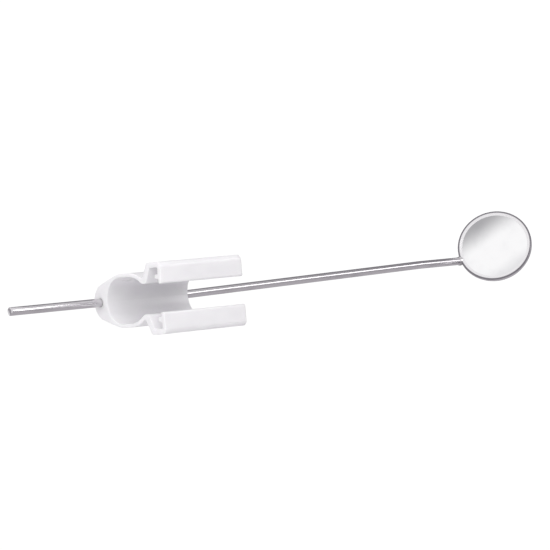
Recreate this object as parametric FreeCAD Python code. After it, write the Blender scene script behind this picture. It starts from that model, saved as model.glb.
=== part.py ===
import FreeCAD, Part
import math
import os

# Mouth mirror held in a push-on plastic clip. Lengths in mm, angles in degrees.
# Frame: the origin is on the axis of the clip's round cavity, halfway along the clip.
# +X runs along the stem towards the mirror, the clip opens towards -Y, and +Z is up.
# The functions below work about the bore's axis. The last step shifts every shape so
# that the cavity's axis becomes the origin.

# ---- overall sizes -------------------------------------------------------------------
stem_d = 2.35             # diameter of the round steel stem
tail_len = 30.3           # stem showing past the clip's tail end
clip_len = 28.3           # length of the clip moulding along the stem
arm_reach = 109.0         # from the clip's head end to the joint with the mirror head
head_d = 22.6             # outside diameter of the mirror head
head_depth = 2.4          # thickness of the mirror head

# ---- how the mirror head stands on the stem -------------------------------------------
face_angle = 43.9         # between the mirror's normal and the stem, looking tailwards
face_roll = 35.8          # turn of the normal about the stem, from -Y towards +Z
join_turn = -8.4          # where on the rim the stem lands, measured in the mirror's plane
set_angle = 1.18          # slight set in the stem just outside the clip
set_radius = 60.0         # radius of the bends that make the set
set_gap = 0.6             # straight stem left outside the clip before the set starts
straight_end = 17.0       # last length of the stem, parallel to the bore again
tip_chamfer = 0.28        # chamfer on the tail tip

# ---- clip section, seen along the stem ------------------------------------------------
bore_clearance = 0.05     # radial gap between stem and bore
bore_lead = 0.05          # lead-in chamfer at both mouths of the bore
back_wall = 1.5           # plastic behind the bore
front_wall = 2.0          # plastic between the bore and the round cavity
boss_r = 5.2              # rounding of the boss that carries the bore
shoulder_r = 14.0         # rounding between the boss and the cavity wall
cavity_r = 6.4            # radius of the round cavity
clip_wall = 1.0           # wall of the round cavity
cavity_depth = 13.0       # from the cavity's back to the start of its taper corner
neck_half = 4.15          # half of the gap at the neck
neck_wall = 1.2           # plastic at the neck
neck_len = 1.9            # length of the neck's narrowest part
taper_len = 3.1           # from the taper corner to the neck
taper_r = 10.0            # rounding between the cavity and its taper
channel_half = 8.25       # half of the channel's inside height
channel_depth = 3.4       # channel's inside depth
leg_lean = 2.2            # how far the legs lean forward over their height
web_wall = 1.5            # top and bottom walls of the channel
leg_wall = 1.3            # legs behind the channel, measured along the opening direction
lip_wall = 1.3            # lips in front of the channel
mouth_half = 3.8          # half of the gap between the lips
front_round = 1.5         # outer front edges
rear_round = 0.9          # outer rear edges of the legs
lip_round = 0.55          # lip ends
inner_round = 0.5         # inside corners of the channel
neck_round = 0.85         # corners of the neck
tooth_start = 1.25        # from the lip's end to the grip tooth
tooth_width = 1.4         # width of the tooth at its root
tooth_height = 1.35       # how far the tooth stands into the channel
tooth_slope = 0.15        # slope of each flank of the tooth
tooth_round = 0.2         # rounding of the tooth's corners

# ---- mirror head, measured from the front rim -----------------------------------------
bezel_wall = 0.3          # sheet of the bezel ring
bezel_skirt = 1.3         # depth of the bezel's skirt over the cup
bezel_drop = 0.35         # mirror surface below the front rim
bezel_lip = 1.0           # width of the bezel's inner bevel, seen from the front
rim_flat = 0.12           # flat of the front rim
rim_round = 0.2           # rounding of the front rim
cup_wall = 0.35           # sheet of the drawn cup
cup_round = 0.45          # outer edge of the cup's floor
glass_t = 1.2             # glass disc
silver_t = 0.06           # reflecting layer on the front of the glass
cushion_gap = 0.25        # cushion's radius is less than the cup's inside by this
glass_gap = 0.1           # glass disc to cup wall
solder_rim = 0.33         # solder standing out around the stem at the joint
solder_back = 0.35        # collar centre, back from the joint along the stem

# ---- derived sizes --------------------------------------------------------------------
stem_r = stem_d / 2
bore_r = stem_r + bore_clearance
half_len = clip_len / 2
set_x = half_len + set_gap
join_x = half_len + arm_reach
solder_r = stem_r + solder_rim
head_r = head_d / 2
boss_y = -(stem_r + back_wall)
cavity_back = stem_r + front_wall
cavity_y = cavity_back + cavity_r
taper_y = cavity_back + cavity_depth
neck_y = taper_y + taper_len
body_half = cavity_r + clip_wall
leg_y = neck_y + neck_len
web_half = channel_half + web_wall
channel_y = leg_y + leg_lean
lip_y = channel_y + channel_depth
front_y = lip_y + lip_wall


# ---- outlines -------------------------------------------------------------------------
def corner(before, here, after, radius):
    """The two tangent points and the middle of the arc that rounds a corner."""
    to_before = (before - here).normalize()
    to_after = (after - here).normalize()
    half_angle = to_before.getAngle(to_after) / 2
    tangent = radius / math.tan(half_angle)
    middle_dir = (to_before + to_after).normalize()
    centre = here + middle_dir * (radius / math.sin(half_angle))
    return here + to_before * tangent, centre - middle_dir * radius, here + to_after * tangent


def rounded_wire(points):
    """Closed wire in the YZ plane from (y, z, corner radius) points."""
    where = [FreeCAD.Vector(0, y, z) for y, z, _ in points]
    count = len(points)
    edges = []
    ends = []
    for i in range(count):
        radius = points[i][2]
        if radius > 0:
            start, middle, end = corner(where[i - 1], where[i], where[(i + 1) % count], radius)
            ends.append((start, end))
            edges.append(Part.Arc(start, middle, end).toShape())
        else:
            ends.append((where[i], where[i]))
    for i in range(count):
        a = ends[i][1]
        b = ends[(i + 1) % count][0]
        if (b - a).Length > 1e-4:
            edges.append(Part.makeLine(a, b))
    return Part.Wire(Part.__sortEdges__(edges))


def clip_half():
    """Upper half of the clip's section, as (distance forward of the bore, height, radius)."""
    flank = math.asin((body_half - boss_r) / (cavity_back + cavity_r - boss_y - boss_r))
    boss_corner = boss_r * (1 / math.cos(flank) - math.tan(flank))
    shoulder = boss_y + (body_half - boss_corner) / math.tan(flank)
    return [
        (boss_y, boss_corner, boss_r * 0.99),
        (shoulder, body_half, shoulder_r),
        (taper_y, body_half, taper_r + clip_wall),
        (neck_y + neck_wall / 3, neck_half + neck_wall, neck_round),
        (channel_y - leg_wall, web_half, rear_round),
        (front_y, web_half, front_round),
        (front_y, mouth_half, lip_round),
        (lip_y, mouth_half, lip_round),
        (lip_y, mouth_half + tooth_start, 0),
        (lip_y - tooth_height, mouth_half + tooth_start + tooth_slope, tooth_round),
        (lip_y - tooth_height, mouth_half + tooth_start + tooth_width - tooth_slope, tooth_round),
        (lip_y, mouth_half + tooth_start + tooth_width, 0),
        (lip_y, channel_half, inner_round),
        (channel_y, channel_half, inner_round),
        (leg_y, neck_half, neck_round),
        (neck_y, neck_half, neck_round),
        (taper_y, cavity_r, taper_r),
        (cavity_back, cavity_r, cavity_r * 0.9999),
    ]


# ---- clip -----------------------------------------------------------------------------
def clip_section():
    """Whole section of the clip: one half and its mirror image. The clip opens towards -Y."""
    upper = [(-forward, height, radius) for forward, height, radius in clip_half()]
    lower = [(y, -height, radius) for y, height, radius in reversed(upper)]
    return rounded_wire(upper + lower)


def bore_cutter():
    """Bore with a lead-in cone at each end of the clip."""
    cutter = Part.makeCylinder(bore_r, clip_len, FreeCAD.Vector(-half_len, 0, 0), FreeCAD.Vector(1, 0, 0))
    for side in (-1, 1):
        mouth = FreeCAD.Vector(side * half_len, 0, 0)
        inward = FreeCAD.Vector(-side, 0, 0)
        cutter = cutter.fuse(Part.makeCone(bore_r + bore_lead, bore_r, bore_lead, mouth, inward))
    return cutter


def clip():
    """One moulding of constant section, with the stem's bore behind the round cavity."""
    face = Part.Face(clip_section())
    body = face.extrude(FreeCAD.Vector(clip_len, 0, 0))
    body.translate(FreeCAD.Vector(-half_len, 0, 0))
    return body.cut(bore_cutter())


# ---- stem -----------------------------------------------------------------------------
def stem_shank():
    """Straight length of the stem: the plain tail and the part inside the clip."""
    tail_x = -half_len - tail_len
    start = FreeCAD.Vector(tail_x, 0, 0)
    along = FreeCAD.Vector(1, 0, 0)
    tip = Part.makeCone(stem_r - tip_chamfer, stem_r, tip_chamfer, start, along)
    body = Part.makeCylinder(stem_r, set_x - tail_x - tip_chamfer, start + along * tip_chamfer, along)
    return tip.fuse(body).removeSplitter()


def stem_rise():
    """Height the stem gains between the set and its parallel end."""
    sloped = join_x - straight_end - set_x
    return sloped * math.tan(math.radians(set_angle))


def join_point():
    """Where the stem's centreline meets the side of the mirror head."""
    return FreeCAD.Vector(join_x, 0, stem_rise())


def stem_arm(head_envelope):
    """Stem outside the clip: a slight set, a long straight, and a parallel end at the head."""
    rise = stem_rise()
    flat_x = join_x - straight_end
    turn = math.radians(set_angle)
    tangent = set_radius * math.tan(turn / 2)
    slope = FreeCAD.Vector(math.cos(turn), 0, math.sin(turn))
    along = FreeCAD.Vector(1, 0, 0)
    first = FreeCAD.Vector(set_x + tangent, 0, 0)
    second = FreeCAD.Vector(flat_x, 0, rise)
    a = FreeCAD.Vector(set_x, 0, 0)
    b = first + slope * tangent
    c = second - slope * tangent
    d = second + along * tangent
    end = FreeCAD.Vector(join_x + head_depth, 0, rise)
    sag = set_radius * (1 - math.cos(turn / 2))
    bow = FreeCAD.Vector(-math.sin(turn / 2), 0, math.cos(turn / 2))
    mid_ab = (a + b) * 0.5 - bow * sag
    mid_cd = (c + d) * 0.5 + bow * sag
    path = Part.Wire([
        Part.Arc(a, mid_ab, b).toShape(),
        Part.makeLine(b, c),
        Part.Arc(c, mid_cd, d).toShape(),
        Part.makeLine(d, end),
    ])
    ring = Part.Wire(Part.makeCircle(stem_r, a, along))
    rod = path.makePipeShell([ring], True, False)
    return biggest(rod.cut(head_envelope))


def biggest(shape):
    """The largest solid of a shape."""
    return max(shape.Solids, key=lambda solid: solid.Volume)


# ---- mirror head ----------------------------------------------------------------------
def head_placement():
    """Placement whose +Z is the mirror's normal and whose +X points from the join to the centre."""
    lean = math.radians(face_angle)
    roll = math.radians(face_roll)
    normal = FreeCAD.Vector(
        -math.cos(lean),
        -math.sin(lean) * math.cos(roll),
        math.sin(lean) * math.sin(roll),
    )
    along = FreeCAD.Vector(-1, 0, 0)
    inward = (along - normal * along.dot(normal)).normalize()
    across = normal.cross(inward)
    turn = math.radians(join_turn)
    to_join = inward * math.cos(turn) + across * math.sin(turn)
    x_axis = to_join * -1
    y_axis = normal.cross(x_axis)
    centre = join_point() - to_join * head_r + normal * (head_depth / 2)
    matrix = FreeCAD.Matrix(
        x_axis.x, y_axis.x, normal.x, centre.x,
        x_axis.y, y_axis.y, normal.y, centre.y,
        x_axis.z, y_axis.z, normal.z, centre.z,
        0, 0, 0, 1,
    )
    return FreeCAD.Placement(matrix)


def turned(points):
    """Solid of revolution about the head's axis from (radius, depth) points."""
    ring = [FreeCAD.Vector(r, 0, z) for r, z in points]
    face = Part.Face(Part.makePolygon(ring + [ring[0]]))
    return face.revolve(FreeCAD.Vector(0, 0, 0), FreeCAD.Vector(0, 0, 1), 360)


def disc(radius, top, thickness):
    """Flat disc on the head's axis, measured down from its top face."""
    return Part.makeCylinder(radius, thickness, FreeCAD.Vector(0, 0, top - thickness))


def edge_circles(shape, radius, height):
    """Circular edges of a turned shape with this radius at this height."""
    found = []
    for edge in shape.Edges:
        curve = edge.Curve
        if isinstance(curve, Part.Circle):
            if abs(curve.Radius - radius) < 1e-6 and abs(curve.Center.z - height) < 1e-6:
                found.append(edge)
    return found


def bezel():
    """Ring spun over the cup, with a bevel that falls from the front rim to the glass."""
    ring = turned([
        (head_r, -bezel_skirt),
        (head_r, 0),
        (head_r - rim_flat - rim_round, 0),
        (head_r - rim_flat - rim_round - bezel_lip, -bezel_drop),
        (head_r - bezel_wall, -bezel_drop),
        (head_r - bezel_wall, -bezel_skirt),
    ])
    return ring.makeFillet(rim_round, edge_circles(ring, head_r, 0))


def cup():
    """Drawn steel pan that holds the glass."""
    outer = head_r - bezel_wall
    pan = turned([
        (0, -head_depth),
        (outer, -head_depth),
        (outer, -bezel_drop),
        (outer - cup_wall, -bezel_drop),
        (outer - cup_wall, -head_depth + cup_wall),
        (0, -head_depth + cup_wall),
    ])
    return pan.makeFillet(min(cup_round, cup_wall * 0.9), edge_circles(pan, outer, -head_depth))


def glass_r():
    return head_r - bezel_wall - cup_wall - glass_gap


def silver_layer():
    """Reflecting layer on the front of the glass."""
    return disc(glass_r(), -bezel_drop, silver_t)


def glass_disc():
    """Flat glass disc that carries the reflecting layer."""
    return disc(glass_r(), -bezel_drop - silver_t, glass_t)


def cushion():
    """Soft disc that presses the glass against the bezel."""
    top = -bezel_drop - glass_t - silver_t
    return disc(glass_r() - cushion_gap, top, head_depth - cup_wall + top)


def head_envelope():
    """Outside of the mirror head, used to end the stem and the solder on its skin."""
    skirt = disc(head_r, 0, bezel_skirt)
    pan = disc(head_r - bezel_wall, 0, head_depth)
    return skirt.fuse(pan)


def solder(envelope):
    """Solder collar between the stem's end and the side of the cup."""
    centre = join_point() - FreeCAD.Vector(solder_back, 0, 0)
    ball = Part.makeSphere(solder_r, centre)
    along = FreeCAD.Vector(1, 0, 0)
    core = Part.makeCylinder(stem_r, 4 * solder_r, centre - along * (2 * solder_r), along)
    return biggest(ball.cut(envelope).cut(core))


# ---- export ---------------------------------------------------------------------------
def main():
    os.makedirs("parts", exist_ok=True)
    placement = head_placement()
    envelope = head_envelope()
    envelope.Placement = placement
    nodes = {
        "clip": clip(),
        "stem_shank": stem_shank(),
        "stem_arm": stem_arm(envelope),
        "solder_collar": solder(envelope),
    }
    head = {
        "head_cup": cup(),
        "head_bezel": bezel(),
        "silver_layer": silver_layer(),
        "glass_disc": glass_disc(),
        "head_cushion": cushion(),
    }
    for name, shape in head.items():
        shape.Placement = placement
        nodes[name] = shape
    for name, shape in nodes.items():
        shape.translate(FreeCAD.Vector(0, cavity_y, 0))
        shape.exportStep("parts/" + name + ".step")


main()
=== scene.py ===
import logging
from dataclasses import dataclass, field
from enum import Enum
from math import asin, ceil, cos, degrees, pi, radians, sin, sqrt, tan
from typing import Any, Optional, Union

import bmesh
import bpy
from mathutils import Matrix, Vector


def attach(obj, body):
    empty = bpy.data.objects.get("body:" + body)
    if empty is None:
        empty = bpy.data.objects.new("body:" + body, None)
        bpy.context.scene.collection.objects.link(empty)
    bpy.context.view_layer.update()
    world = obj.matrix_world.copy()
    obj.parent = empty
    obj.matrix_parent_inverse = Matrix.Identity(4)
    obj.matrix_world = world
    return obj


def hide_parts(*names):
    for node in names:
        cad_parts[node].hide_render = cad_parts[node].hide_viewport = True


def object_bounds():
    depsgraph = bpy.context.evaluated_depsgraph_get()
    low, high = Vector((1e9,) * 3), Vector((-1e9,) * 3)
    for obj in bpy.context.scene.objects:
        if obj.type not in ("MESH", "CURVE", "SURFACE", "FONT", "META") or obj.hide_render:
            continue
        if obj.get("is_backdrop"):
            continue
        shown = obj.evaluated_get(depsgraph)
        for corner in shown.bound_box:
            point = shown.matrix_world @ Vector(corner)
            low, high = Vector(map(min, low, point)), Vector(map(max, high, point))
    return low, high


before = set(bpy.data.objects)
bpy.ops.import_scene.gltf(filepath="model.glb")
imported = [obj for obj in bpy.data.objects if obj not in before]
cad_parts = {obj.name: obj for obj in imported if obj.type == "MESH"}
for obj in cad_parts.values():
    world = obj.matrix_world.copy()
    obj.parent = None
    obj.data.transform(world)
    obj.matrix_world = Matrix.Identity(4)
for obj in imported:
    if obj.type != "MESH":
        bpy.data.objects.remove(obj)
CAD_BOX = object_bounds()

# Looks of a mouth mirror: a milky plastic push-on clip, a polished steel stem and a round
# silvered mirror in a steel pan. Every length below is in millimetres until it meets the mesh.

LOG = logging.getLogger("mouth_mirror")
MM = 0.001
UP = Vector((0.0, 0.0, 1.0))
ALONG = Vector((1.0, 0.0, 0.0))
ACROSS = Vector((0.0, 1.0, 0.0))
CORNERS = ((-1, -1), (1, -1), (1, 1), (-1, 1))
Triple = tuple[float, float, float]
Colour = Triple
Point2 = tuple[float, float]
Ring = list[bmesh.types.BMVert]
Piece = bpy.types.Object
Material = bpy.types.Material


class Body(Enum):
    """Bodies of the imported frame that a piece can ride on."""

    CLIP = "clip"
    SHANK = "shank"
    ARM = "arm"


class Slot(Enum):
    """Material slots of the record."""

    PLASTIC = "clip_plastic"
    STEM = "stem_steel"
    HEAD = "head_steel"
    SOLDER = "solder"
    GLASS = "glass"
    SILVER = "silver"
    CUSHION = "cushion"


# ---- shader graph helpers ----


class Socket:
    """An output of a shader graph that can be combined with plain arithmetic."""

    def __init__(self, graph: "Graph", output: bpy.types.NodeSocket) -> None:
        """Args: graph: the graph it belongs to. output: the node output it stands for."""
        self.graph = graph
        self.output = output

    def _math(self, operation: str, a: "Operand", b: "Operand") -> "Socket":
        """Args: operation: Math node operation. a, b: its inputs. Returns: the result."""
        return self.graph.node("Math", {"operation": operation}, {0: a, 1: b})

    def __add__(self, other: "Operand") -> "Socket":
        """Returns: self plus other."""
        return self._math("ADD", self, other)

    def __radd__(self, other: "Operand") -> "Socket":
        """Returns: other plus self."""
        return self._math("ADD", other, self)

    def __sub__(self, other: "Operand") -> "Socket":
        """Returns: self minus other."""
        return self._math("SUBTRACT", self, other)

    def __rsub__(self, other: "Operand") -> "Socket":
        """Returns: other minus self."""
        return self._math("SUBTRACT", other, self)

    def __mul__(self, other: "Operand") -> "Socket":
        """Returns: self times other."""
        return self._math("MULTIPLY", self, other)

    def __rmul__(self, other: "Operand") -> "Socket":
        """Returns: other times self."""
        return self._math("MULTIPLY", other, self)


Operand = Union[Socket, float, Colour]
# sockets of the Mix node that its colour mode uses
MIX_FACTOR, MIX_A, MIX_B, MIX_OUT = 0, 6, 7, 2


class Graph:
    """Node tree of one material."""

    def __init__(self, name: str) -> None:
        """Args: name: name of the material to make."""
        self.material = bpy.data.materials.new(name)
        self.material.use_nodes = True
        self.tree = self.material.node_tree
        self.tree.nodes.clear()

    @classmethod
    def of_world(cls, world: bpy.types.World) -> "Graph":
        """Args: world: world whose node tree to fill. Returns: a graph for it."""
        graph = cls.__new__(cls)
        graph.material = None
        graph.tree = world.node_tree
        graph.tree.nodes.clear()
        return graph

    def node(
        self,
        kind: str,
        settings: Optional[dict[str, Any]] = None,
        inputs: Optional[dict[Union[int, str], Operand]] = None,
        output: Union[int, str] = 0,
    ) -> Socket:
        """Adds a node.

        Args:
            kind: node type, without its ShaderNode prefix.
            settings: properties to set on the node.
            inputs: socket values or links, by name or index.
            output: which output to return.

        Returns:
            The chosen output.
        """
        made = self.tree.nodes.new("ShaderNode" + kind)
        for key, value in (settings or {}).items():
            setattr(made, key, value)
        for key, value in (inputs or {}).items():
            target = made.inputs[key]
            if isinstance(value, Socket):
                self.tree.links.new(value.output, target)
            elif isinstance(value, tuple) and target.type == "RGBA":
                target.default_value = (*value, 1.0)
            else:
                target.default_value = value
        return Socket(self, made.outputs[output])

    def rest(self) -> Socket:
        """Returns: coordinates in metres that stay with the piece as it moves."""
        return self.node("TexCoord", output="Object")

    def place(self, stretch: Triple) -> Socket:
        """Args: stretch: scale of the rest coordinates, per metre. Returns: the coordinates."""
        return self.vector("MULTIPLY", self.rest(), stretch)

    def vector(self, operation: str, a: Operand, b: Operand) -> Socket:
        """Args: operation: Vector Math operation. a, b: its inputs. Returns: the vector."""
        return self.node("VectorMath", {"operation": operation}, {0: a, 1: b})

    def dot(self, a: Socket, along: Vector) -> Socket:
        """Args: a: vector. along: fixed direction. Returns: their dot product."""
        inputs = {0: a, 1: tuple(along)}
        return self.node("VectorMath", {"operation": "DOT_PRODUCT"}, inputs, "Value")

    def noise(self, where: Socket, detail: float, rough: float = 0.55) -> Socket:
        """Args: where: coordinates. detail, rough: fractal settings. Returns: 0 to 1 noise."""
        inputs = {"Vector": where, "Scale": 1.0, "Detail": detail, "Roughness": rough}
        return self.node("TexNoise", None, inputs, "Fac")

    def cloud(self, stretch: Triple, detail: float, rough: float = 0.55) -> Socket:
        """Args: stretch: noise scale. detail, rough: fractal settings. Returns: 0 to 1 noise."""
        return self.noise(self.place(stretch), detail, rough)

    def window(self, value: Operand, low: float, high: float, out: Point2 = (0.0, 1.0)) -> Socket:
        """Args: value: input. low, high: its range. out: range it becomes. Returns: the result."""
        settings = {"interpolation_type": "SMOOTHSTEP"}
        inputs = {"Value": value, "From Min": low, "From Max": high}
        inputs.update({"To Min": out[0], "To Max": out[1]})
        return self.node("MapRange", settings, inputs)

    def mix(self, factor: Operand, a: Operand, b: Operand) -> Socket:
        """Args: factor: 0 gives a, 1 gives b. a, b: colours. Returns: the mixed colour."""
        settings = {"data_type": "RGBA", "clamp_factor": True}
        return self.node("Mix", settings, {MIX_FACTOR: factor, MIX_A: a, MIX_B: b}, MIX_OUT)

    def bump(self, height: Socket, depth: float, strength: float) -> Socket:
        """Args: height: 0 to 1 field. depth: metres for 1. strength: blend. Returns: a normal."""
        inputs = {"Height": height, "Distance": depth, "Strength": strength}
        return self.node("Bump", None, inputs, "Normal")

    def surface(self, inputs: dict[Union[int, str], Operand]) -> Material:
        """Args: inputs: values and links of the shader. Returns: the finished material."""
        return self.close(self.node("BsdfPrincipled", None, inputs, "BSDF"))

    def emission(self, colour: Operand, strength: float) -> Material:
        """Args: colour, strength: its light. Returns: a material that only glows."""
        inputs = {"Color": colour, "Strength": strength}
        return self.close(self.node("Emission", None, inputs))

    def close_world(self, light: Socket) -> None:
        """Args: light: what the world shows."""
        out = self.tree.nodes.new("ShaderNodeOutputWorld")
        self.tree.links.new(light.output, out.inputs["Surface"])

    def close(self, shader: Socket) -> Material:
        """Args: shader: what the surface shows. Returns: the finished material."""
        out = self.tree.nodes.new("ShaderNodeOutputMaterial")
        self.tree.links.new(shader.output, out.inputs["Surface"])
        return self.material


# ---- finishes ----


@dataclass(frozen=True)
class MouldedPlastic:
    """Milky, slightly translucent moulding with a soft gloss."""

    light: Colour = (0.90, 0.896, 0.91)
    shade: Colour = (0.86, 0.855, 0.872)
    roughness: Point2 = (0.27, 0.40)
    depth: float = 2.0e-5
    scatter: float = 0.7
    scatter_m: float = 0.0015

    def material(self, name: str) -> Material:
        """Args: name: material name. Returns: the plastic."""
        graph = Graph(name)
        cloud = graph.cloud((90.0, 190.0, 190.0), 4.0)
        peel = graph.cloud((2600.0, 2600.0, 2600.0), 2.0)
        flow = graph.cloud((60.0, 700.0, 700.0), 3.0)
        colour = graph.mix(graph.window(cloud, 0.35, 0.7), self.light, self.shade)
        rough = graph.window(cloud * 0.6 + flow * 0.4, 0.3, 0.7, self.roughness)
        relief = peel * 0.25 + flow * 0.75
        return graph.surface({
            "Base Color": colour,
            "Roughness": rough,
            "IOR": 1.49,
            "Subsurface Weight": self.scatter,
            "Subsurface Radius": (1.0, 0.95, 1.0),
            "Subsurface Scale": self.scatter_m,
            "Normal": graph.bump(relief, self.depth, 0.6),
        })


@dataclass(frozen=True)
class DrawnSteel:
    """Polished steel rod with faint drawing lines along X."""

    bright: Colour = (0.70, 0.685, 0.705)
    dull: Colour = (0.58, 0.565, 0.585)
    roughness: Point2 = (0.10, 0.24)
    depth: float = 4.0e-6

    def material(self, name: str) -> Material:
        """Args: name: material name. Returns: the steel."""
        graph = Graph(name)
        lines = graph.cloud((45.0, 5200.0, 5200.0), 3.0)
        handling = graph.cloud((120.0, 420.0, 420.0), 5.0, 0.65)
        scuffs = graph.cloud((1500.0, 700.0, 700.0), 2.0)
        wear = graph.window(handling, 0.4, 0.72)
        rough = graph.window(lines * 0.5 + handling * 0.5, 0.3, 0.7, self.roughness)
        return graph.surface({
            "Base Color": graph.mix(wear, self.bright, self.dull),
            "Metallic": 1.0,
            "Roughness": rough,
            "Normal": graph.bump(lines * 0.8 + scuffs * 0.2, self.depth, 0.5),
        })


@dataclass(frozen=True)
class SpunSteel:
    """Polished sheet steel turned about the mirror's own axis, with fine circular marks.

    Nearer the axis than highlight_r (on the bezel, most of its bevel) the colour is brighter: a
    painted
    highlight. The outer corner of the rim, beyond dark_crown_r and within dark_crown_h of the
    front, is darker:
    painted shade on the crown. Radii and heights are in metres.
    """

    centre: Vector
    normal: Vector
    bright: Colour = (0.68, 0.665, 0.69)
    dull: Colour = (0.50, 0.485, 0.51)
    # painted highlight: brighter colour given to the steel nearer the axis than highlight_r
    face: Colour = (0.80, 0.79, 0.805)
    # painted shade: dark colour given to the rim's crown near the front
    edge: Colour = (0.22, 0.21, 0.23)
    # bounds of the painted highlight, of the painted shade on the crown and of its height
    highlight_r: Point2 = (0.0107, 0.0109)
    dark_crown_r: Point2 = (0.0107, 0.0109)
    dark_crown_h: Point2 = (-0.00025, -0.0001)
    roughness: Point2 = (0.12, 0.26)
    depth: float = 4.0e-6
    rings: float = 9000.0

    def material(self, name: str) -> Material:
        """Args: name: material name. Returns: the steel."""
        graph = Graph(name)
        offset = graph.vector("SUBTRACT", graph.rest(), tuple(self.centre))
        height = graph.dot(offset, self.normal)
        length = graph.node("VectorMath", {"operation": "LENGTH"}, {0: offset}, "Value")
        square = length * length - height * height
        across = graph.node("Math", {"operation": "SQRT"}, {0: square})
        turned = {0: across * self.rings, 1: height * self.rings}
        ring = graph.node("CombineXYZ", None, turned)
        marks = graph.noise(ring, 3.0)
        cloud = graph.cloud((420.0, 420.0, 420.0), 4.0)
        wear = graph.window(cloud, 0.42, 0.75)
        rough = graph.window(marks * 0.5 + cloud * 0.5, 0.3, 0.7, self.roughness)
        sheet = graph.mix(wear, self.bright, self.dull)
        # painted highlight: steel nearer the axis than highlight_r takes the brighter face colour
        polished = graph.mix(graph.window(across, *self.highlight_r, (1.0, 0.0)), sheet, self.face)
        # painted shade: the crown, beyond dark_crown_r and near the front, takes the dark edge
        # colour
        crown = graph.window(across, *self.dark_crown_r) * graph.window(height, *self.dark_crown_h)
        return graph.surface({
            "Base Color": graph.mix(crown, polished, self.edge),
            "Metallic": 1.0,
            "Roughness": rough,
            "Normal": graph.bump(marks, self.depth, 0.5),
        })


@dataclass(frozen=True)
class SolderMetal:
    """Satin solder with a lumpy, slightly dull skin."""

    bright: Colour = (0.60, 0.59, 0.60)
    dull: Colour = (0.40, 0.39, 0.40)
    depth: float = 6.0e-5

    def material(self, name: str) -> Material:
        """Args: name: material name. Returns: the solder."""
        graph = Graph(name)
        lumps = graph.cloud((1300.0, 1300.0, 1300.0), 4.0)
        return graph.surface({
            "Base Color": graph.mix(graph.window(lumps, 0.4, 0.7), self.bright, self.dull),
            "Metallic": 1.0,
            "Roughness": graph.window(lumps, 0.3, 0.7, (0.22, 0.42)),
            "Normal": graph.bump(lumps, self.depth, 0.6),
        })


@dataclass(frozen=True)
class ClearGlass:
    """Clear flat glass with a faint film of haze."""

    tint: Colour = (0.97, 0.985, 0.98)
    haze: Point2 = (0.0, 0.025)

    def material(self, name: str) -> Material:
        """Args: name: material name. Returns: the glass."""
        graph = Graph(name)
        film = graph.cloud((260.0, 260.0, 260.0), 4.0)
        colour = graph.mix(film, self.tint, (0.99, 0.99, 0.99))
        return graph.surface({
            "Base Color": colour,
            "Roughness": graph.window(film, 0.45, 0.75, self.haze),
            "IOR": 1.50,
            "Transmission Weight": 1.0,
        })


@dataclass(frozen=True)
class Silvering:
    """Silvered reflecting layer on the front of the glass."""

    bright: Colour = (0.93, 0.925, 0.935)
    aged: Colour = (0.86, 0.855, 0.87)

    def material(self, name: str) -> Material:
        """Args: name: material name. Returns: the mirror layer."""
        graph = Graph(name)
        cloud = graph.cloud((190.0, 190.0, 190.0), 4.0)
        return graph.surface({
            "Base Color": graph.mix(graph.window(cloud, 0.4, 0.8), self.bright, self.aged),
            "Metallic": 1.0,
            "Roughness": graph.window(cloud, 0.4, 0.7, (0.006, 0.018)),
        })


@dataclass(frozen=True)
class CushionPad:
    """Dark, matt cushion sheet."""

    light: Colour = (0.09, 0.09, 0.095)
    dark: Colour = (0.04, 0.04, 0.045)

    def material(self, name: str) -> Material:
        """Args: name: material name. Returns: the pad."""
        graph = Graph(name)
        grain = graph.cloud((3200.0, 3200.0, 3200.0), 3.0)
        return graph.surface({
            "Base Color": graph.mix(grain, self.dark, self.light),
            "Roughness": graph.window(grain, 0.3, 0.7, (0.75, 0.92)),
            "Normal": graph.bump(grain, 5.0e-5, 0.5),
        })


# ---- mesh helpers ----


def add_object(name: str, data: bpy.types.ID) -> Piece:
    """Args: name: object name. data: mesh, light or camera. Returns: it, in the scene."""
    made = bpy.data.objects.new(name, data)
    bpy.context.scene.collection.objects.link(made)
    return made


class MeshBuilder:
    """Collects rings of points in millimetres and makes one mesh of them."""

    FLAT_WEIGHT = 60

    def __init__(self, name: str) -> None:
        """Args: name: name of the object to make."""
        self.name = name
        self.mesh = bmesh.new()

    def ring(self, points: list[Vector]) -> Ring:
        """Args: points: ring in millimetres. Returns: its vertices."""
        return [self.mesh.verts.new(point * MM) for point in points]

    def bridge(self, first: Ring, second: Ring) -> None:
        """Args: first, second: closed rings of the same length to join with quads."""
        count = len(first)
        for i in range(count):
            j = (i + 1) % count
            self.mesh.faces.new((first[i], first[j], second[j], second[i]))

    def loft(self, rings: list[Ring]) -> None:
        """Args: rings: rings to join in order."""
        for first, second in zip(rings, rings[1:]):
            self.bridge(first, second)

    def cap(self, rings: list[Ring]) -> None:
        """Args: rings: one outline, and holes in it, to fill with one flat face set."""
        edges = []
        for ring in rings:
            for i, vert in enumerate(ring):
                edges.append(self.mesh.edges.get((vert, ring[(i + 1) % len(ring)])))
        bmesh.ops.triangle_fill(self.mesh, use_beauty=True, use_dissolve=False, edges=edges)

    def finish(self, sharp_deg: float = 38.0) -> Piece:
        """Args: sharp_deg: edges that turn more than this stay sharp. Returns: the object."""
        bmesh.ops.recalc_face_normals(self.mesh, faces=self.mesh.faces)
        data = bpy.data.meshes.new(self.name)
        self.mesh.to_mesh(data)
        self.mesh.free()
        for face in data.polygons:
            face.use_smooth = True
        data.set_sharp_from_angle(angle=radians(sharp_deg))
        made = add_object(self.name, data)
        weighted = made.modifiers.new("weighted", "WEIGHTED_NORMAL")
        weighted.keep_sharp = True
        weighted.weight = self.FLAT_WEIGHT
        return made


@dataclass(frozen=True)
class Corner:
    """Corner of an outline, with the radius that rounds it."""

    y: float
    z: float
    radius: float = 0.0


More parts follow.
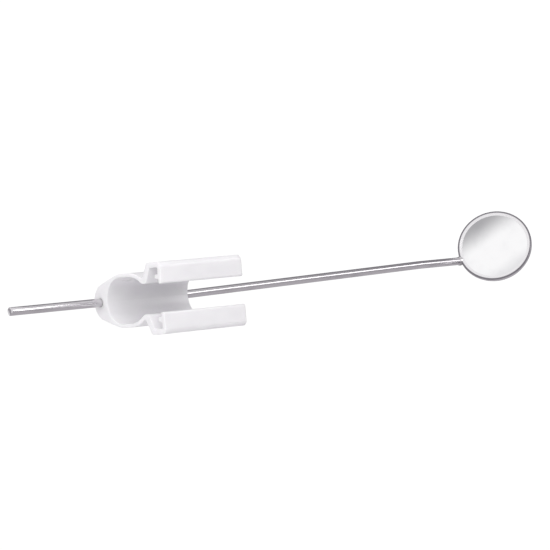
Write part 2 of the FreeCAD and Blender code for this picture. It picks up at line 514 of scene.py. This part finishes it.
class Outline:
    """Closed outline in the YZ plane, rounded at its corners."""

    STEP_DEG = 7.0
    SHORTEST = 1e-3
    MIN_STRETCH = 0.5

    def __init__(self, corners: list[Corner]) -> None:
        """Args: corners: the outline's corners, in order."""
        self.corners = corners

    def _arc(self, before: Vector, here: Vector, after: Vector, radius: float) -> list[Vector]:
        """Args: before, here, after: corner points. radius: its rounding. Returns: arc points."""
        back = (before - here).normalized()
        ahead = (after - here).normalized()
        half = back.angle(ahead) / 2
        tangent = radius / tan(half)
        middle = (back + ahead).normalized()
        centre = here + middle * (radius / sin(half))
        start = here + back * tangent - centre
        end = here + ahead * tangent - centre
        turn = start.angle(end)
        count = max(3, ceil(degrees(turn) / self.STEP_DEG))
        points = []
        for i in range(count + 1):
            share = i / count
            near = sin((1 - share) * turn) / sin(turn)
            far = sin(share * turn) / sin(turn)
            points.append(centre + start * near + end * far)
        return points

    def points(self, longest: float) -> list[Vector]:
        """Args: longest: longest straight piece, in millimetres. Returns: points round it."""
        where = [Vector((corner.y, corner.z)) for corner in self.corners]
        count = len(where)
        loose: list[Vector] = []
        for i, corner in enumerate(self.corners):
            if corner.radius > 0:
                loose += self._arc(where[i - 1], where[i], where[(i + 1) % count], corner.radius)
            else:
                loose.append(where[i])
        dense: list[Vector] = []
        for i, point in enumerate(loose):
            ahead = loose[(i + 1) % len(loose)]
            gap = (ahead - point).length
            if gap < self.SHORTEST:
                continue
            pieces = max(1, ceil(gap / longest))
            dense += [point.lerp(ahead, step / pieces) for step in range(pieces)]
        return dense

    @staticmethod
    def inset(points: list[Vector], by: float) -> list[Vector]:
        """Args: points: outline. by: how far to move it into the material. Returns: the result."""
        count = len(points)
        pairs = [(points[i - 1], points[i]) for i in range(count)]
        area = sum(a.x * b.y - b.x * a.y for a, b in pairs)
        side = 1.0 if area > 0 else -1.0
        moved = []
        for i, point in enumerate(points):
            into = (point - points[i - 1]).normalized()
            out = (points[(i + 1) % count] - point).normalized()
            normal_in = Vector((-into.y, into.x)) * side
            normal_out = Vector((-out.y, out.x)) * side
            normal = (normal_in + normal_out).normalized()
            stretch = max(Outline.MIN_STRETCH, normal.dot(normal_in))
            moved.append(point + normal * (by / stretch))
        return moved


def circle(centre: Vector, u: Vector, v: Vector, radius: float, count: int) -> list[Vector]:
    """Args: centre, radius, count: the circle. u, v: axes of its plane. Returns: its points."""
    turns = [2 * pi * i / count for i in range(count)]
    return [centre + u * (radius * cos(a)) + v * (radius * sin(a)) for a in turns]


def show(made: Piece, body: Body, slot: Slot, nodes: list[str], look: Material) -> None:
    """Puts a finished piece in place of its CAD nodes.

    Args:
        made: the piece.
        body: body that carries it.
        slot: record slot of its finish, not used.
        nodes: CAD nodes it stands for.
        look: its material.
    """
    made.data.materials.clear()
    made.data.materials.append(look)
    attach(made, body.value)
    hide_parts(*nodes)


# ---- clip ----


@dataclass
class Clip:
    """Push-on moulding of constant section, with softened ends and a bore for the stem."""

    length: float = 28.3
    stem_r: float = 1.175
    bore_clearance: float = 0.03
    bore_lead: float = 0.03
    back_wall: float = 1.5
    front_wall: float = 2.0
    boss_r: float = 5.2
    shoulder_r: float = 14.0
    cavity_r: float = 6.4
    wall: float = 1.0
    cavity_depth: float = 13.0
    neck_half: float = 4.15
    neck_wall: float = 1.2
    neck_len: float = 1.9
    taper_len: float = 3.1
    taper_r: float = 10.0
    channel_half: float = 8.25
    channel_depth: float = 3.4
    leg_lean: float = 2.2
    web_wall: float = 1.5
    leg_wall: float = 1.3
    lip_wall: float = 1.3
    mouth_half: float = 3.8
    front_round: float = 1.5
    rear_round: float = 0.9
    lip_round: float = 0.55
    inner_round: float = 0.5
    neck_round: float = 0.85
    tooth_start: float = 1.25
    tooth_width: float = 1.4
    tooth_height: float = 1.35
    tooth_slope: float = 0.15
    tooth_round: float = 0.2
    end_round: float = 0.18
    end_steps: int = 5
    boss_share: float = 0.99
    cavity_share: float = 0.9999
    section_step: float = 2.0
    outline_step: float = 1.2
    bore_points: int = 48
    finish: MouldedPlastic = field(default_factory=MouldedPlastic)

    def cavity_y(self) -> float:
        """Returns: distance from the bore's axis to the cavity's axis."""
        return self.stem_r + self.front_wall + self.cavity_r

    def half(self) -> list[Corner]:
        """Returns: upper half of the section, forward of the bore's axis."""
        back = -(self.stem_r + self.back_wall)
        cavity_back = self.stem_r + self.front_wall
        body = self.cavity_r + self.wall
        taper = cavity_back + self.cavity_depth
        neck = taper + self.taper_len
        leg = neck + self.neck_len
        channel = leg + self.leg_lean
        lip = channel + self.channel_depth
        front = lip + self.lip_wall
        web = self.channel_half + self.web_wall
        flank = asin((body - self.boss_r) / (cavity_back + self.cavity_r - back - self.boss_r))
        boss_z = self.boss_r * (1 / cos(flank) - tan(flank))
        shoulder = back + (body - boss_z) / tan(flank)
        tooth = self.mouth_half + self.tooth_start
        crest = lip - self.tooth_height
        return [
            Corner(back, boss_z, self.boss_r * self.boss_share),
            Corner(shoulder, body, self.shoulder_r),
            Corner(taper, body, self.taper_r + self.wall),
            Corner(neck + self.neck_wall / 3, self.neck_half + self.neck_wall, self.neck_round),
            Corner(channel - self.leg_wall, web, self.rear_round),
            Corner(front, web, self.front_round),
            Corner(front, self.mouth_half, self.lip_round),
            Corner(lip, self.mouth_half, self.lip_round),
            Corner(lip, tooth),
            Corner(crest, tooth + self.tooth_slope, self.tooth_round),
            Corner(crest, tooth + self.tooth_width - self.tooth_slope, self.tooth_round),
            Corner(lip, tooth + self.tooth_width),
            Corner(lip, self.channel_half, self.inner_round),
            Corner(channel, self.channel_half, self.inner_round),
            Corner(leg, self.neck_half, self.neck_round),
            Corner(neck, self.neck_half, self.neck_round),
            Corner(taper, self.cavity_r, self.taper_r),
            Corner(cavity_back, self.cavity_r, self.cavity_r * self.cavity_share),
        ]

    def section(self) -> list[Vector]:
        """Returns: the whole section, about the cavity's axis."""
        shift = self.cavity_y()
        upper = [Corner(shift - c.y, c.z, c.radius) for c in self.half()]
        lower = [Corner(c.y, -c.z, c.radius) for c in reversed(upper)]
        return Outline(upper + lower).points(self.outline_step)

    def stations(self) -> list[Point2]:
        """Returns: (x, inset) of each section from the tail end to the head end."""
        half = self.length / 2
        rounding = []
        for i in range(self.end_steps + 1):
            turn = pi / 2 * i / self.end_steps
            x = self.end_round * (1 - cos(turn))
            rounding.append((x, self.end_round * (1 - sin(turn))))
        straight = self.length - 2 * self.end_round
        steps = round(straight / self.section_step)
        middle = [(-half + self.end_round + straight * i / steps, 0.0) for i in range(1, steps)]
        start = [(-half + x, inset) for x, inset in rounding]
        end = [(half - x, inset) for x, inset in reversed(rounding)]
        return start + middle + end

    def build(self) -> Piece:
        """Returns: the clip's mesh."""
        builder = MeshBuilder("clip_moulding")
        outline = self.section()
        rings = []
        for x, by in self.stations():
            moved = Outline.inset(outline, by) if by > 1e-6 else outline
            rings.append(builder.ring([Vector((x, p.x, p.y)) for p in moved]))
        builder.loft(rings)
        bore = self.build_bore(builder)
        builder.cap([rings[0], bore[0]])
        builder.cap([rings[-1], bore[-1]])
        return builder.finish()

    def build_bore(self, builder: MeshBuilder) -> list[Ring]:
        """Args: builder: mesh to add to. Returns: the bore's rings."""
        half = self.length / 2
        radius = self.stem_r + self.bore_clearance
        wide = radius + self.bore_lead
        inner = half - self.bore_lead
        rings = []
        for x, r in ((-half, wide), (-inner, radius), (inner, radius), (half, wide)):
            centre = Vector((x, self.cavity_y(), 0.0))
            rings.append(builder.ring(circle(centre, ACROSS, UP, r, self.bore_points)))
        builder.loft(rings)
        return rings

    def dress(self, made: Piece) -> None:
        """Args: made: the clip's mesh, which gets its finish and its place."""
        show(made, Body.CLIP, Slot.PLASTIC, ["clip"], self.finish.material("milky_plastic"))


# ---- stem ----


@dataclass
class Stem:
    """Round steel rod: a plain tail with a chamfered tip, a slight set, and an end at the head."""

    radius: float = 1.175
    axis_y: float = 9.575
    clip_length: float = 28.3
    tail: float = 30.3
    reach: float = 109.0
    set_gap: float = 0.6
    set_deg: float = 1.18
    set_radius: float = 60.0
    straight_end: float = 17.0
    bury: float = 0.6
    tip_chamfer: float = 0.28
    tip_dish: float = 0.12
    tip_shares: tuple[Point2, ...] = ((1.0, 0.55), (0.6, 0.8), (0.0, 1.0))
    chamfer_steps: int = 4
    set_steps: int = 4
    points: int = 64
    run_step: float = 4.0
    finish: DrawnSteel = field(default_factory=DrawnSteel)

    def set_x(self) -> float:
        """Returns: where the straight shank ends and the set begins."""
        return self.clip_length / 2 + self.set_gap

    def join(self) -> Vector:
        """Returns: where the centreline meets the side of the mirror head."""
        x = self.clip_length / 2 + self.reach
        rise = (x - self.straight_end - self.set_x()) * tan(radians(self.set_deg))
        return Vector((x, self.axis_y, rise))

    def ring(self, builder: MeshBuilder, centre: Vector, lean: float, radius: float) -> Ring:
        """Args: builder: mesh. centre, lean, radius: ring across the rod. Returns: its vertices."""
        high = Vector((-sin(lean), 0.0, cos(lean)))
        return builder.ring(circle(centre, ACROSS, high, radius, self.points))

    def build_shank(self) -> Piece:
        """Returns: the straight shank with its finished tip."""
        builder = MeshBuilder("stem_shank_rod")
        tip = -self.clip_length / 2 - self.tail
        inner = self.radius - self.tip_chamfer
        chamfer = self.tip_chamfer
        stations = [(tip + self.tip_dish * deep, inner * wide) for deep, wide in self.tip_shares]
        for i in range(1, self.chamfer_steps + 1):
            share = i / self.chamfer_steps
            stations.append((tip + chamfer * share, inner + chamfer * sin(share * pi / 2)))
        run = self.set_x() - tip - chamfer
        steps = round(run / self.run_step)
        stations += [(tip + chamfer + run * i / steps, self.radius) for i in range(1, steps + 1)]
        rings = [self.ring(builder, Vector((x, self.axis_y, 0.0)), 0.0, r) for x, r in stations]
        builder.loft(rings)
        builder.cap([rings[0]])
        builder.cap([rings[-1]])
        return builder.finish()

    def bow(self, lean: float) -> Vector:
        """Args: lean: slope in radians. Returns: how far the set has moved the rod by then."""
        return Vector((sin(lean), 0, 1 - cos(lean))) * self.set_radius

    def centreline(self) -> list[tuple[Vector, float]]:
        """Returns: points of the arm's centreline and the slope at each."""
        turn = radians(self.set_deg)
        join = self.join()
        tangent = self.set_radius * tan(turn / 2)
        start = Vector((self.set_x(), self.axis_y, 0.0))
        knee = Vector((join.x - self.straight_end, self.axis_y, join.z))
        slope = Vector((cos(turn), 0.0, sin(turn)))
        low = start + ALONG * tangent
        path = []
        for i in range(self.set_steps + 1):
            lean = turn * i / self.set_steps
            path.append((start + self.bow(lean), lean))
        foot = low + slope * tangent
        head = knee - slope * tangent
        steps = round((head - foot).length / self.run_step)
        path += [(foot.lerp(head, i / steps), turn) for i in range(1, steps)]
        top = knee + ALONG * tangent
        for i in range(self.set_steps + 1):
            lean = turn * (1 - i / self.set_steps)
            path.append((top - self.bow(lean), lean))
        end = join + ALONG * self.bury
        steps = round((end - top).length / self.run_step)
        path += [(top.lerp(end, i / steps), 0.0) for i in range(1, steps + 1)]
        return path

    def build_arm(self) -> Piece:
        """Returns: the rod from the set to the mirror head."""
        builder = MeshBuilder("stem_arm_rod")
        path = self.centreline()
        rings = [self.ring(builder, centre, lean, self.radius) for centre, lean in path]
        builder.loft(rings)
        builder.cap([rings[0]])
        builder.cap([rings[-1]])
        return builder.finish()

    def dress(self, shank: Piece, arm: Piece) -> None:
        """Args: shank, arm: the two lengths of the rod, which get their finish and place."""
        steel = self.finish.material("drawn_steel")
        show(shank, Body.SHANK, Slot.STEM, ["stem_shank"], steel)
        show(arm, Body.ARM, Slot.STEM, ["stem_arm"], steel)


# ---- mirror head ----


@dataclass
class Head:
    """Round mirror: glass, silvering and cushion in a drawn pan, held by a spun bezel."""

    join: Vector
    radius: float = 11.3
    depth: float = 2.4
    face_deg: float = 43.9
    roll_deg: float = 35.8
    join_deg: float = -8.4
    bezel_wall: float = 0.3
    skirt: float = 1.3
    drop: float = 0.35
    bevel: float = 1.0
    rim_flat: float = 0.12
    rim_round: float = 0.2
    cup_wall: float = 0.35
    cup_round: float = 0.3
    glass_t: float = 1.2
    silver_t: float = 0.06
    glass_gap: float = 0.1
    cushion_gap: float = 0.25
    film_gap: float = 0.015
    seam: float = 0.05
    hem_round: float = 0.1
    rim_step: Point2 = (0.04, 0.015)
    bevel_steps: tuple[Point2, ...] = ((0.45, 0.40), (0.50, 0.52))
    foot_round: float = 0.05
    foot_edge: float = 0.02
    dish: float = 0.05
    dish_shares: Point2 = (0.70, 0.74)
    silver_inset: float = 0.02
    silver_edge: float = 0.01
    glass_edge: float = 0.06
    pad_edge: float = 0.05
    pan_bright: Colour = (0.60, 0.585, 0.61)
    pan_dull: Colour = (0.44, 0.43, 0.45)
    points: int = 144

    def normal(self) -> Vector:
        """Returns: the mirror's outward normal."""
        lean = radians(self.face_deg)
        roll = radians(self.roll_deg)
        side = sin(lean)
        return Vector((-cos(lean), -side * cos(roll), side * sin(roll)))

    def to_join(self) -> Vector:
        """Returns: direction in the mirror's plane from its centre to the stem."""
        normal = self.normal()
        inward = (-ALONG - normal * normal.dot(-ALONG)).normalized()
        turn = radians(self.join_deg)
        return inward * cos(turn) + normal.cross(inward) * sin(turn)

    def centre(self) -> Vector:
        """Returns: centre of the front rim."""
        return self.join - self.to_join() * self.radius + self.normal() * (self.depth / 2)

    def lathe(self, name: str, profile: list[Point2], sharp_deg: float = 38.0) -> Piece:
        """Turns a closed (radius, height) profile about the head's axis.

        Args:
            name: object name.
            profile: closed profile, with radii of zero on the axis.
            sharp_deg: edges that turn more than this stay sharp.

        Returns:
            The turned piece.
        """
        builder = MeshBuilder(name)
        normal = self.normal()
        u = self.to_join()
        v = normal.cross(u)
        centre = self.centre()
        rings = []
        for r, z in profile:
            middle = centre + normal * z
            rings.append(builder.ring([middle] if r <= 0 else circle(middle, u, v, r, self.points)))
        closed = all(len(ring) > 1 for ring in rings)
        pairs = list(zip(rings, rings[1:])) + ([(rings[-1], rings[0])] if closed else [])
        for first, second in pairs:
            if len(first) > 1 and len(second) > 1:
                builder.bridge(first, second)
            elif len(first) > 1 or len(second) > 1:
                self.fan(builder, first, second)
        return builder.finish(sharp_deg)

    @staticmethod
    def fan(builder: MeshBuilder, first: Ring, second: Ring) -> None:
        """Args: builder: mesh to add to. first, second: a ring and a single point to join."""
        ring, tip = (first, second[0]) if len(first) > 1 else (second, first[0])
        for i, vert in enumerate(ring):
            builder.mesh.faces.new((vert, ring[(i + 1) % len(ring)], tip))

    @staticmethod
    def arc(
        centre: Point2, radius: float, start: float, end: float, steps: int = 6
    ) -> list[Point2]:
        """Args: centre, radius: circle. start, end: degrees. steps: pieces. Returns: its points."""
        turns = [radians(start + (end - start) * i / steps) for i in range(steps + 1)]
        return [(centre[0] + radius * cos(a), centre[1] + radius * sin(a)) for a in turns]

    def build_bezel(self) -> Piece:
        """Returns: the bezel ring, with its bevel broken by a fine spun step."""
        r = self.radius
        crown = self.arc((r - self.rim_round, -self.rim_round), self.rim_round, 0, 90)
        hem_r = self.hem_round
        hem = self.arc((r - hem_r, -self.skirt + hem_r), hem_r, -90, 0, 4)
        top = r - self.rim_flat - self.rim_round
        foot = top - self.bevel
        profile = hem + crown + [(top, 0.0), (top - self.rim_step[0], -self.rim_step[1])]
        profile += [(top - self.bevel * a, -self.drop * b) for a, b in self.bevel_steps]
        profile += [
            (foot + self.foot_round, -self.drop + self.foot_round),
            (foot, -self.drop + self.foot_edge),
            (foot, -self.drop),
            (r - self.bezel_wall, -self.drop),
            (r - self.bezel_wall, -self.skirt),
        ]
        return self.lathe("bezel_ring", profile, 30.0)

    def build_cup(self) -> Piece:
        """Returns: the drawn pan behind the glass, with a shallow ring pressed in its floor."""
        outer = self.radius - self.bezel_wall - self.seam
        inner = self.radius - self.bezel_wall - self.cup_wall
        floor = -self.depth + self.cup_wall
        base = -self.depth
        dish = base + self.dish
        near, far = self.dish_shares
        profile = [(0.0, dish), (outer * near, dish), (outer * far, base)]
        profile += self.arc((outer - self.cup_round, base + self.cup_round), self.cup_round, -90, 0)
        profile += [(outer, -self.drop), (inner, -self.drop), (inner, floor), (0.0, floor)]
        return self.lathe("mirror_pan", profile)

    def flat_disc(self, name: str, radius: float, top: float, base: float, edge: float) -> Piece:
        """Args: name, radius, top, base: the disc. edge: its chamfer. Returns: the disc."""
        flat = radius - edge
        profile = [(0.0, top), (flat, top), (radius, top - edge)]
        profile += [(radius, base + edge), (flat, base), (0.0, base)]
        return self.lathe(name, profile, 25.0)

    def build_stack(self) -> dict[str, Piece]:
        """Returns: glass, silvering and cushion, by CAD node."""
        glass_r = self.radius - self.bezel_wall - self.cup_wall - self.glass_gap
        top = -self.drop - self.film_gap
        front = -self.drop - self.silver_t
        back = front - self.glass_t
        floor = -self.depth + self.cup_wall
        film_r = glass_r - self.silver_inset
        pad_r = glass_r - self.cushion_gap
        return {
            "silver_layer": self.flat_disc("silvering", film_r, top, front, self.silver_edge),
            "glass_disc": self.flat_disc("mirror_glass", glass_r, front, back, self.glass_edge),
            "head_cushion": self.flat_disc("cushion_pad", pad_r, back, floor, self.pad_edge),
        }

    def dress(self, bezel: Piece, cup: Piece, stack: dict[str, Piece]) -> None:
        """Args: bezel, cup: sheet pieces. stack: glass, silvering and cushion by CAD node."""
        middle, normal = self.centre() * MM, self.normal()
        rim = SpunSteel(middle, normal)
        pan = SpunSteel(middle, normal, self.pan_bright, self.pan_dull)
        show(bezel, Body.ARM, Slot.HEAD, ["head_bezel"], rim.material("spun_bezel_steel"))
        show(cup, Body.ARM, Slot.HEAD, ["head_cup"], pan.material("spun_pan_steel"))
        looks = {
            "glass_disc": (Slot.GLASS, ClearGlass().material("clear_glass")),
            "silver_layer": (Slot.SILVER, Silvering().material("silvering")),
            "head_cushion": (Slot.CUSHION, CushionPad().material("cushion")),
        }
        for node, made in stack.items():
            slot, look = looks[node]
            show(made, Body.ARM, slot, [node], look)


@dataclass
class SolderCollar:
    """Solder drawn up round the stem where it meets the side of the pan."""

    join: Vector
    stem_r: float = 1.175
    collar_r: float = 1.425
    back: float = 0.35
    stretch: float = 1.9
    thinning: float = 0.03
    lump: float = 0.03
    lumps: int = 3
    lump_phase: float = 1.1
    points: int = 48
    steps: int = 12
    finish: SolderMetal = field(default_factory=SolderMetal)

    def build(self) -> Piece:
        """Returns: the collar, a smooth bead that thins out along the stem."""
        builder = MeshBuilder("solder_bead")
        centre = self.join - ALONG * self.back
        rings = []
        reach = sqrt(self.collar_r ** 2 - self.stem_r ** 2)
        for i in range(self.steps + 1):
            share = i / self.steps
            x = -reach + share * reach * self.stretch
            radius = sqrt(max(self.collar_r ** 2 - x * x, self.stem_r ** 2))
            radius -= self.thinning * (1 - share)
            middle = centre + ALONG * x
            ring = []
            for k, point in enumerate(circle(middle, ACROSS, UP, radius, self.points)):
                phase = self.lumps * 2 * pi * k / self.points + self.lump_phase
                wobble = self.lump * sin(phase) * sin(share * pi)
                out = (point - centre - ALONG * x).normalized()
                ring.append(point - out * abs(wobble))
            rings.append(builder.ring(ring))
        builder.loft(rings)
        builder.cap([rings[0]])
        builder.cap([rings[-1]])
        return builder.finish(60.0)

    def dress(self, made: Piece) -> None:
        """Args: made: the collar's mesh."""
        show(made, Body.ARM, Slot.SOLDER, ["solder_collar"], self.finish.material("solder"))


# ---- studio ----


@dataclass(frozen=True)
class Softbox:
    """Rectangular area light aimed at a point."""

    name: str
    direction: Triple
    distance: float
    width: float
    height: float
    radiance: float
    shows: bool
    fills: bool = True
    colour: Colour = (1.0, 0.99, 0.985)

    def place(self, target: Vector) -> Piece:
        """Args: target: point it faces, in metres. Returns: the light."""
        light = bpy.data.lights.new(self.name, "AREA")
        light.shape = "RECTANGLE"
        light.size = self.width
        light.size_y = self.height
        light.energy = self.radiance * pi * self.width * self.height
        light.color = self.colour
        made = add_object(self.name, light)
        out = Vector(self.direction).normalized()
        made.location = target + out * self.distance
        made.rotation_mode = "QUATERNION"
        made.rotation_quaternion = out.to_track_quat("Z", "Y")
        made.visible_glossy = self.shows
        made.visible_diffuse = self.fills
        made.visible_camera = False
        made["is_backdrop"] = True
        return made


@dataclass
class Studio:
    """White backdrop, pale floor, soft lights and the camera."""

    target: Vector = field(default_factory=lambda: Vector((0.04916, 0.009575, 0.003015)))
    azimuth: float = -40.0
    elevation: float = 0.3
    roll: float = 5.21
    distance: float = 0.8465
    lens: float = 192.2
    sensor: float = 36.0
    floor_z: float = -0.15
    surround: float = 1.9
    floor_glow: Colour = (0.17, 0.165, 0.175)
    ceiling_glow: Colour = (0.20, 0.19, 0.21)
    cap_glow: Colour = (1.0, 0.99, 1.0)
    floor_shine: Colour = (0.56, 0.54, 0.565)
    ceiling_shine: Colour = (0.27, 0.26, 0.28)
    cap_shine: Colour = (1.0, 0.995, 1.0)
    cap: Point2 = (0.12, 0.40)
    wall_span: Point2 = (-0.7, 0.7)
    surround_glow: float = 1.05
    reflector_share: float = 0.9
    floor_half: float = 0.42
    card_distance: float = 0.35
    card_half: float = 0.06
    card_turn: Point2 = (0.57, -0.82)
    card_rise: Point2 = (-0.0120, -0.0018)
    card_fall: Point2 = (0.0066, 0.0140)
    card_grey: Colour = (0.444, 0.442, 0.452)
    card_far: Colour = (0.80, 0.80, 0.81)
    card_glow: float = 1.02
    # name, direction, distance, width, height, radiance, shows in gloss, lights surfaces
    lights: tuple[Softbox, ...] = (
        Softbox("glint", (0.66, -0.70, 0.30), 0.60, 0.62, 0.17, 2.2, True, False),
        Softbox("tail_glint", (0.393, -0.876, 0.283), 0.632, 0.20, 0.36, 2.2, True, False),
        Softbox("top", (-0.25, -0.30, 1.0), 0.60, 0.60, 0.60, 0.2, False),
        Softbox("side", (-0.75, -0.65, 0.45), 0.60, 0.50, 0.50, 0.84, False),
        Softbox("front", (0.35, -1.0, 0.15), 0.80, 0.80, 0.60, 0.36, False),
    )

    def plane(self, name: str, corners: list[Vector], look: Material) -> Piece:
        """Args: name: object name. corners: four points in metres. look: material. Returns: it."""
        data = bpy.data.meshes.new(name)
        data.from_pydata([tuple(corner) for corner in corners], [], [(0, 1, 2, 3)])
        made = add_object(name, data)
        data.materials.append(look)
        made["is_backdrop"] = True
        return made

    def axes(self) -> tuple[Vector, Vector, Vector]:
        """Returns: the camera's right, up and back directions."""
        a = radians(self.azimuth)
        e = radians(self.elevation)
        back = Vector((sin(a) * cos(e), -cos(a) * cos(e), sin(e)))
        right0 = Vector((cos(a), sin(a), 0.0))
        up0 = back.cross(right0)
        roll = radians(self.roll)
        right = right0 * cos(roll) - up0 * sin(roll)
        return right, back.cross(right), back

    def build_floor(self) -> None:
        """Adds the pale floor, well below the part."""
        graph = Graph("floor_paint")
        grain = graph.cloud((6.0, 6.0, 6.0), 2.0)
        look = graph.surface({
            "Base Color": graph.mix(grain, (0.78, 0.775, 0.785), (0.82, 0.815, 0.825)),
            "Roughness": graph.window(grain, 0.3, 0.7, (0.7, 0.8)),
        })
        far = self.floor_half
        corners = [Vector((x * far, y * far, self.floor_z)) for x, y in CORNERS]
        made = self.plane("floor", corners, look)
        made.visible_glossy = False

    def sphere(self, name: str, radius: float, look: Material) -> Piece:
        """Args: name: object name. radius: in metres. look: material. Returns: a shell."""
        shell = bmesh.new()
        bmesh.ops.create_uvsphere(shell, u_segments=48, v_segments=24, radius=radius)
        data = bpy.data.meshes.new(name)
        shell.to_mesh(data)
        shell.free()
        made = add_object(name, data)
        made.location = self.target
        data.materials.append(look)
        made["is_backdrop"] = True
        made.visible_diffuse = False
        made.visible_transmission = False
        made.visible_shadow = False
        return made

    def build_backdrop(self) -> None:
        """Adds the white surround, which throws no light and shows in no mirror."""
        look = Graph("surround_white").emission((1.0, 1.0, 1.0), self.surround_glow)
        self.sphere("surround", self.surround, look).visible_glossy = False

    def build_reflector(self, head: Head) -> None:
        """Args: head: the mirror. Adds the shell that only polished surfaces see."""
        graph = Graph("reflector_sweep")
        look = graph.node("VectorMath", {"operation": "NORMALIZE"}, {0: graph.rest()})
        glow = self.room(graph, look, head, (self.floor_shine, self.ceiling_shine, self.cap_shine))
        radius = self.surround * self.reflector_share
        self.sphere("reflector", radius, graph.emission(glow, 1.0)).visible_camera = False

    def build_card(self, head: Head) -> None:
        """Args: head: the mirror, which reflects this card's grey-to-white sweep."""
        normal = head.normal()
        right, up, _ = self.axes()
        middle = head.centre() * MM + self.bright_side(head) * self.card_distance
        u = (right - normal * (2 * normal.dot(right))).normalized()
        v = (up - normal * (2 * normal.dot(up))).normalized()
        half = self.card_half
        graph = Graph("card_sweep")
        offset = graph.vector("SUBTRACT", graph.rest(), tuple(middle))
        sweep = (u * self.card_turn[0] + v * self.card_turn[1]).normalized()
        along = graph.dot(offset, sweep)
        rise = graph.window(along, *self.card_rise)
        fall = graph.window(along, *self.card_fall)
        white = graph.mix(fall, (1.0, 1.0, 1.0), self.card_far)
        look = graph.emission(graph.mix(rise, self.card_grey, white), self.card_glow)
        corners = [middle + u * (x * half) + v * (y * half) for x, y in CORNERS]
        made = self.plane("mirror_card", corners, look)
        made.visible_diffuse = False
        made.visible_shadow = False

    def build_world(self, head: Head) -> None:
        """Args: head: the mirror, which faces the bright side of the room."""
        world = bpy.data.worlds.new("room")
        bpy.context.scene.world = world
        world.use_nodes = True
        graph = Graph.of_world(world)
        look = graph.node("TexCoord", output="Generated")
        glow = self.room(graph, look, head, (self.floor_glow, self.ceiling_glow, self.cap_glow))
        inputs = {"Color": glow, "Strength": 1.0}
        graph.close_world(graph.node("Background", None, inputs))

    def room(
        self, graph: Graph, look: Socket, head: Head, glows: tuple[Colour, Colour, Colour]
    ) -> Socket:
        """Colour of the room in each direction.

        Args:
            graph: node tree to add to.
            look: unit direction from the part.
            head: the mirror, which faces the bright side.
            glows: floor, ceiling and bright side.

        Returns:
            The colour.
        """
        height = graph.dot(look, UP)
        toward = graph.dot(look, self.bright_side(head))
        floor, ceiling, side = glows
        walls = graph.mix(graph.window(height, *self.wall_span), floor, ceiling)
        return graph.mix(graph.window(toward, *self.cap), walls, side)

    def bright_side(self, head: Head) -> Vector:
        """Args: head: the mirror. Returns: direction the mirror shows to the camera."""
        _, _, back = self.axes()
        normal = head.normal()
        seen = (self.target + back * self.distance - head.centre() * MM).normalized()
        return (normal * (2 * normal.dot(seen)) - seen).normalized()

    def build_camera(self) -> None:
        """Adds the camera at its standing view."""
        right, up, back = self.axes()
        data = bpy.data.cameras.new("camera")
        data.lens = self.lens
        data.sensor_width = self.sensor
        data.clip_start = 0.01
        data.clip_end = 20.0
        made = add_object("camera", data)
        turn = Matrix((right, up, back)).transposed().to_4x4()
        made.matrix_world = Matrix.Translation(self.target + back * self.distance) @ turn
        bpy.context.scene.camera = made

    def build(self, head: Head) -> None:
        """Args: head: the mirror, whose card is placed from it."""
        self.build_floor()
        self.build_backdrop()
        self.build_card(head)
        self.build_reflector(head)
        self.build_world(head)
        for light in self.lights:
            light.place(self.target)
        self.build_camera()
        bpy.context.scene.view_settings.view_transform = "Standard"


def write_sizes() -> None:
    """Puts the CAD box and the dressed model's box side by side, as plain lists."""
    boxes = {"cad": CAD_BOX, "dressed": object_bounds()}
    plain = {name: [list(corner) for corner in box] for name, box in boxes.items()}


def main() -> None:
    """Builds each sub-assembly in order, then the studio."""
    logging.basicConfig(level=logging.INFO)
    clip = Clip()
    clip.dress(clip.build())
    LOG.info("clip built")
    stem = Stem(axis_y=clip.cavity_y())
    stem.dress(stem.build_shank(), stem.build_arm())
    LOG.info("stem built, join at %s", tuple(round(c, 3) for c in stem.join()))
    head = Head(stem.join())
    head.dress(head.build_bezel(), head.build_cup(), head.build_stack())
    LOG.info("head built, centre at %s", tuple(round(c, 3) for c in head.centre()))
    collar = SolderCollar(stem.join())
    collar.dress(collar.build())
    LOG.info("solder built")
    Studio().build(head)
    LOG.info("studio built")


if __name__ == "__main__":
    main()
    write_sizes()
